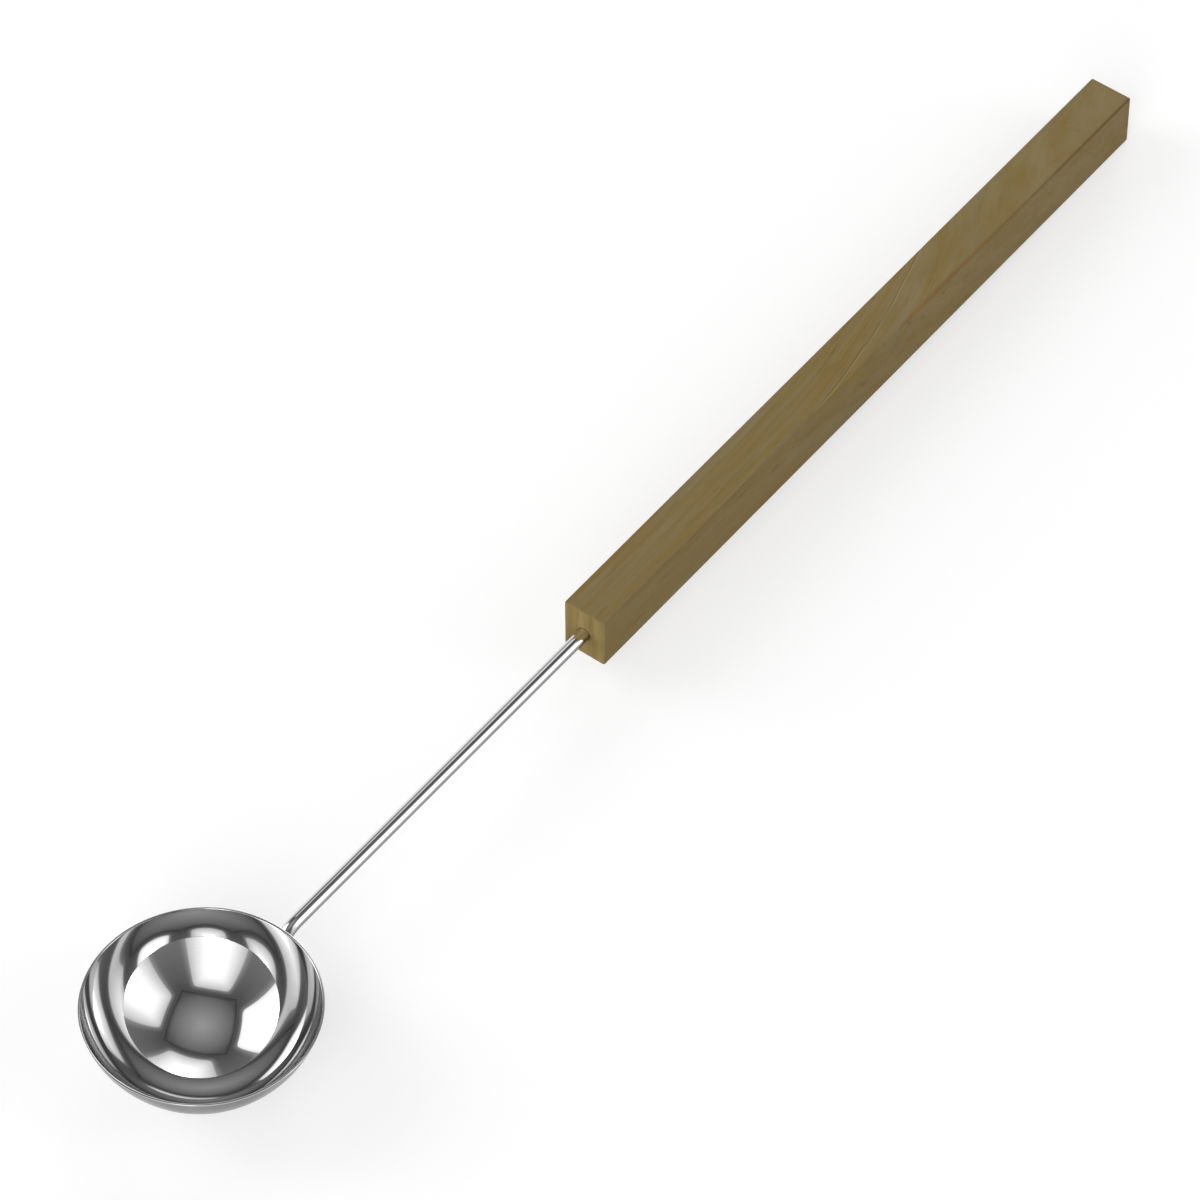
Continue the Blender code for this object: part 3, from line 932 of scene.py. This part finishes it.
def make_glue(sizes):
    """A sleeve between rod and bore: a closed section turned about the rod's axis, with a
    hollow skin at the mouth."""
    axis_z = (HANDLE_LOW.z + HANDLE_HIGH.z) / 2.0
    inner = sizes.rod_diameter / 2.0 + 0.00002
    outer = sizes.bore_radius - 0.00002
    front = HANDLE_LOW.x
    back = GLUE_HIGH.x
    share = np.linspace(0.0, 1.0, 9)
    mouth = np.stack([inner + (outer - inner) * share,
                      front + 0.00003 + 0.00035 * share**6], -1)
    wall = np.linspace(front + 0.001, back, 8)
    outside = np.stack([np.full(8, outer), wall], -1)
    inside = np.stack([np.full(8, inner), wall[::-1]], -1)
    section = np.concatenate([mouth, outside, inside])
    step = np.roll(section, -1, 0) - np.roll(section, 1, 0)
    slope = unit(np.stack([step[:, 1], -step[:, 0]], -1))
    phase = turns(64)
    spread = np.stack([np.zeros(64), np.cos(phase), np.sin(phase)], -1)
    x_axis = np.array((1.0, 0.0, 0.0))
    rings = (np.array((0.0, 0.0, axis_z)) + section[:, None, :1] * spread
             + section[:, None, 1:] * x_axis)
    normals = slope[:, None, :1] * spread + slope[:, None, 1:] * x_axis
    closed = np.concatenate([section, section[:1]])
    along = lengths(closed)
    return closed_skin("ladle_glue", rings, normals, along)


class LADLE_OT_bowl(Operator):
    """Make the polished bowl"""

    bl_idname = "ladle.bowl"
    bl_label = "Bowl"

    def execute(self, context):
        piece = make_bowl(context.scene.ladle_sizes)
        finishes = context.scene.ladle_finishes
        # Outside, the darker satin tone is partly painted shade.
        material = steel("Polished steel", tuple(finishes.polished), (4.0, 1800.0, 1.0),
                         0.02, 0.035, 0.02, (tuple(finishes.satin_and_shade), 0.15))
        dress(piece, material, "bowl")
        return {"FINISHED"}


class LADLE_OT_rod(Operator):
    """Make the bent rod"""

    bl_idname = "ladle.rod"
    bl_label = "Rod"

    def execute(self, context):
        piece = make_rod(context.scene.ladle_sizes)
        finishes = context.scene.ladle_finishes
        # The rod's flanks and underside take a darker tone: painted shade.
        material = steel("Rod steel with painted shade", tuple(finishes.polished), (40.0, 30.0, 1.0),
                         0.05, 0.08, 0.03, (tuple(finishes.rod_shade_tone), 0.08))
        dress(piece, material, "shank_rod")
        return {"FINISHED"}


class LADLE_OT_welds(Operator):
    """Make the two weld beads"""

    bl_idname = "ladle.welds"
    bl_label = "Welds"

    def execute(self, context):
        sizes = context.scene.ladle_sizes
        finishes = context.scene.ladle_finishes
        material = steel("Weld steel", tuple(finishes.weld), (6.0, 900.0, 1.0), 0.3, 0.45, 0.2)
        dress(make_bead(sizes, "ladle_weld_left", 1.0), material, "weld_bead_left")
        dress(make_bead(sizes, "ladle_weld_right", -1.0), material, "weld_bead_right")
        return {"FINISHED"}


class LADLE_OT_handle(Operator):
    """Make the cedar handle"""

    bl_idname = "ladle.handle"
    bl_label = "Handle"

    def execute(self, context):
        piece = make_handle(context.scene.ladle_sizes)
        dress(piece, oiled_cedar(context.scene.ladle_finishes), "handle")
        return {"FINISHED"}


class LADLE_OT_glue(Operator):
    """Make the glue round the rod's end"""

    bl_idname = "ladle.glue"
    bl_label = "Glue"

    def execute(self, context):
        piece = make_glue(context.scene.ladle_sizes)
        dress(piece, cured_glue(context.scene.ladle_finishes), "adhesive_sleeve")
        return {"FINISHED"}


class LADLE_OT_stage(Operator):
    """Make the floor, the studio room and the camera"""

    bl_idname = "ladle.stage"
    bl_label = "Stage"

    def execute(self, context):
        scene = context.scene
        stage = scene.ladle_stage
        self.lay_floor(scene.ladle_sizes, stage)
        self.build_room(stage)
        self.hang_lamp(scene, stage)
        world = bpy.data.worlds.new("Studio white")
        world.use_nodes = True
        bench = Bench(world.node_tree)
        back = bench.add("ShaderNodeBackground", {"Color": (1.0, 1.0, 1.0), "Strength": 1.0})
        bench.put(bench.add("ShaderNodeOutputWorld").inputs["Surface"], back.outputs[0])
        scene.world = world
        self.aim_camera(scene, stage)
        scene.view_settings.view_transform = "Standard"
        return {"FINISHED"}

    def lay_floor(self, sizes, stage):
        """Round floor that the ladle rests on: the plane that touches the bowl's ball and
        the handle's lower back edge, which rises by the angle where both lie at their own
        radius above it."""
        ball, centre = bowl_centre(sizes)
        edge = sizes.end_edge
        tip = np.array((HANDLE_HIGH.x - edge, 0.0, HANDLE_LOW.z + edge))
        span = tip - centre
        rise = math.asin((ball - edge) / math.hypot(span[0], span[2]))
        rise -= math.atan2(-span[2], span[0])
        ahead = np.array((math.cos(rise), 0.0, math.sin(rise)))
        above = np.array((-math.sin(rise), 0.0, math.cos(rise)))
        touch = centre - above * ball
        phase = turns(96)
        rim = touch + FLOOR_RADIUS * (np.cos(phase)[:, None] * ahead
                             + np.sin(phase)[:, None] * np.array((0.0, 1.0, 0.0)))
        floor = stage_skin("studio_floor", rim.tolist(), [list(range(96))])
        floor.data.materials.append(floor_paint(tuple(stage.floor), stage.floor_glow))

    def build_room(self, stage):
        """Four walls and a ceiling round the ladle, open below, lit from their own glow and
        left out of the camera's own view."""
        half = stage.room_half
        top = half * stage.ceiling_ratio
        low = -half * 0.1
        corners = [(half, half), (-half, half), (-half, -half), (half, -half)]
        points = [(x, y, low) for x, y in corners] + [(x, y, top) for x, y in corners]
        faces = [(0, 1, 5, 4), (1, 2, 6, 5), (2, 3, 7, 6), (3, 0, 4, 7), (4, 5, 6, 7)]
        room = stage_skin("studio_room", points, faces)
        room.rotation_euler = (0.0, 0.0, stage.room_turn)
        room.data.materials.append(room_light(stage))
        room.visible_camera = False

    def hang_lamp(self, scene, stage):
        """Large soft square lamp on the bowl's side. Its power is the
        wanted level on a facing surface times pi times the distance squared."""
        data = bpy.data.lights.new("Soft lamp", "AREA")
        data.shape = "SQUARE"
        data.size = LAMP_WIDTH
        data.energy = stage.lamp_level * math.pi * LAMP_DISTANCE**2
        lamp = bpy.data.objects.new("Soft lamp", data)
        scene.collection.objects.link(lamp)
        back = Vector(LAMP_SIDE).normalized()
        turn = (-back).to_track_quat("-Z", "Y").to_matrix().to_4x4()
        lamp.matrix_world = Matrix.Translation(back * LAMP_DISTANCE) @ turn
        lamp.visible_camera = False
        lamp.visible_glossy = False

    def aim_camera(self, scene, stage):
        """Camera at a distance from the target, by azimuth, elevation and roll."""
        flat = math.cos(stage.elevation)
        back = Vector((math.sin(stage.azimuth) * flat, -math.cos(stage.azimuth) * flat,
                       math.sin(stage.elevation)))
        data = bpy.data.cameras.new("View")
        data.sensor_width = 36.0
        data.lens = stage.lens
        data.clip_end = 200.0
        camera = bpy.data.objects.new("View", data)
        scene.collection.objects.link(camera)
        turn = (-back).to_track_quat("-Z", "Y").to_matrix().to_4x4()
        spin = Matrix.Rotation(stage.roll, 4, "Z")
        place = Matrix.Translation(Vector(stage.target) + back * stage.distance)
        camera.matrix_world = place @ turn @ spin
        scene.camera = camera


class LADLE_PT_parts(Panel):
    """Lists the ladle's pieces and the stage"""

    bl_idname = "LADLE_PT_parts"
    bl_label = "Sauna Ladle"
    bl_space_type = "VIEW_3D"
    bl_region_type = "UI"
    bl_category = "Ladle"

    def draw(self, context):
        column = self.layout.column(align=True)
        for operator in OPERATORS:
            column.operator(operator.bl_idname, text=operator.bl_label)
        scene = context.scene
        for group in (scene.ladle_sizes, scene.ladle_finishes, scene.ladle_stage):
            box = self.layout.box()
            for key in group.__annotations__:
                box.prop(group, key)


GROUPS = (LadleSizes, LadleFinishes, LadleStage)
OPERATORS = (LADLE_OT_bowl, LADLE_OT_rod, LADLE_OT_welds, LADLE_OT_handle, LADLE_OT_glue,
             LADLE_OT_stage)
CLASSES = GROUPS + OPERATORS + (LADLE_PT_parts,)


def register():
    for kind in CLASSES:
        bpy.utils.register_class(kind)
    bpy.types.Scene.ladle_sizes = PointerProperty(type=LadleSizes)
    bpy.types.Scene.ladle_finishes = PointerProperty(type=LadleFinishes)
    bpy.types.Scene.ladle_stage = PointerProperty(type=LadleStage)


def unregister():
    del bpy.types.Scene.ladle_stage
    del bpy.types.Scene.ladle_finishes
    del bpy.types.Scene.ladle_sizes
    for kind in reversed(CLASSES):
        bpy.utils.unregister_class(kind)


def main():
    register()
    bpy.ops.ladle.bowl()
    bpy.ops.ladle.rod()
    bpy.ops.ladle.welds()
    bpy.ops.ladle.handle()
    bpy.ops.ladle.glue()
    bpy.ops.ladle.stage()


if __name__ == "__main__":
    main()
